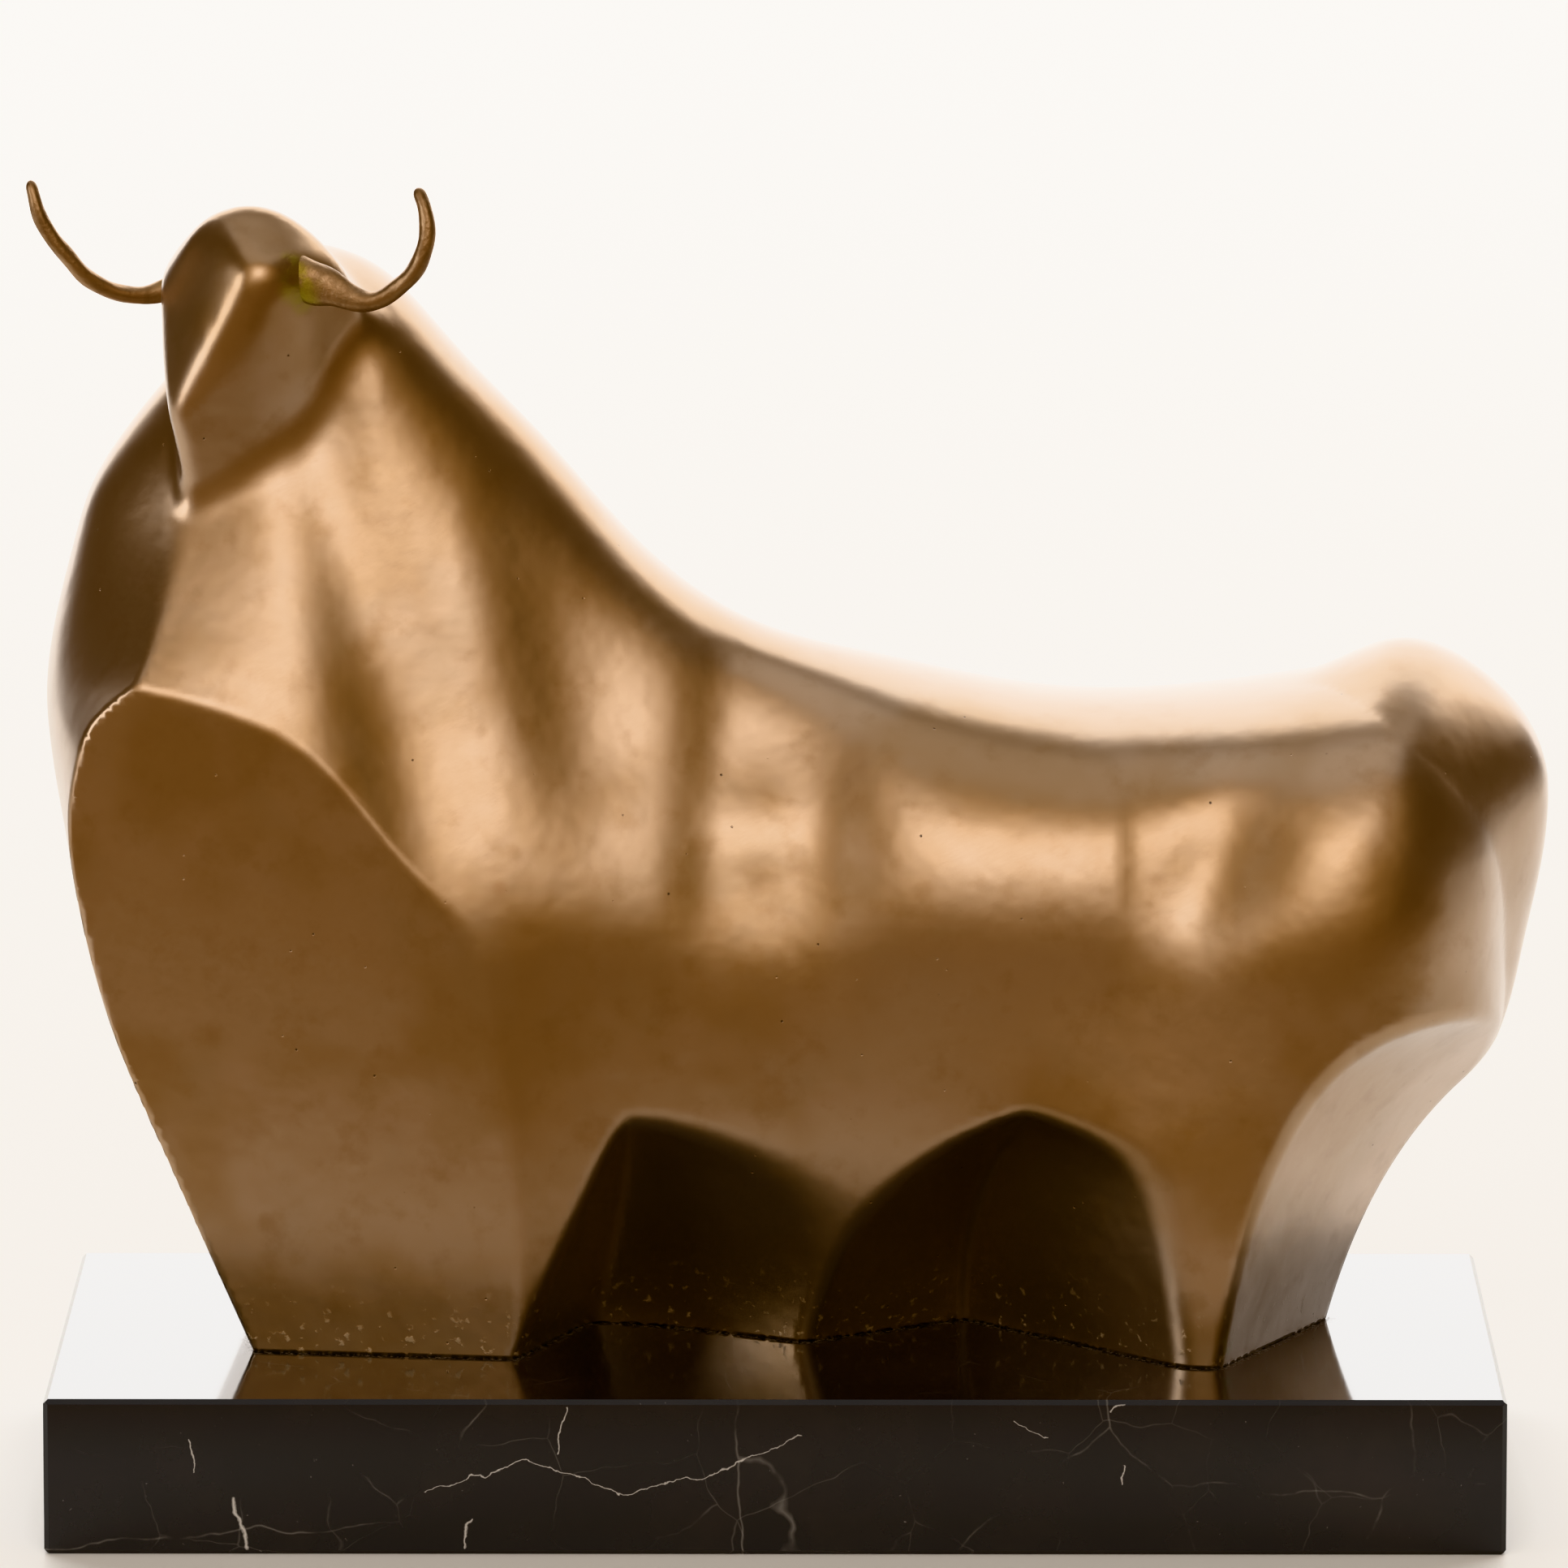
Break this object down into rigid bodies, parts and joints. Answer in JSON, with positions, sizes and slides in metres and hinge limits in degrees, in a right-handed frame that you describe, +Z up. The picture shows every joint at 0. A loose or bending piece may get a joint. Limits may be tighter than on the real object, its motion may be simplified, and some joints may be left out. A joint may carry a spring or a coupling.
{
  "type": "abstract bronze bull sculpture on marble base",
  "caption": "Smooth abstract bull cast in bronze, head turned to one side, with thin curved horns brazed on, standing on a flat rectangular marble base.",
  "frame": {"origin": "centre of the marble base's underside", "axes": "+X along the base from the bull's chest to its rump, +Y across it to the bull's far side, away from where its head turns, +Z up"},
  "size_m": [0.3901, 0.185, 0.3412],
  "materials": {
    "marble": "polished black marble with fine white veins",
    "bronze": "golden brown cast bronze, satin polish with fine brushing",
    "horn_bronze": "dull brown bronze rod with greenish brazing at the root"
  },
  "bodies": {
    "root": {"marble_slab": "marble", "bull_casting": "bronze", "near_horn": "horn_bronze", "far_horn": "horn_bronze"}
  },
  "joints": []
}
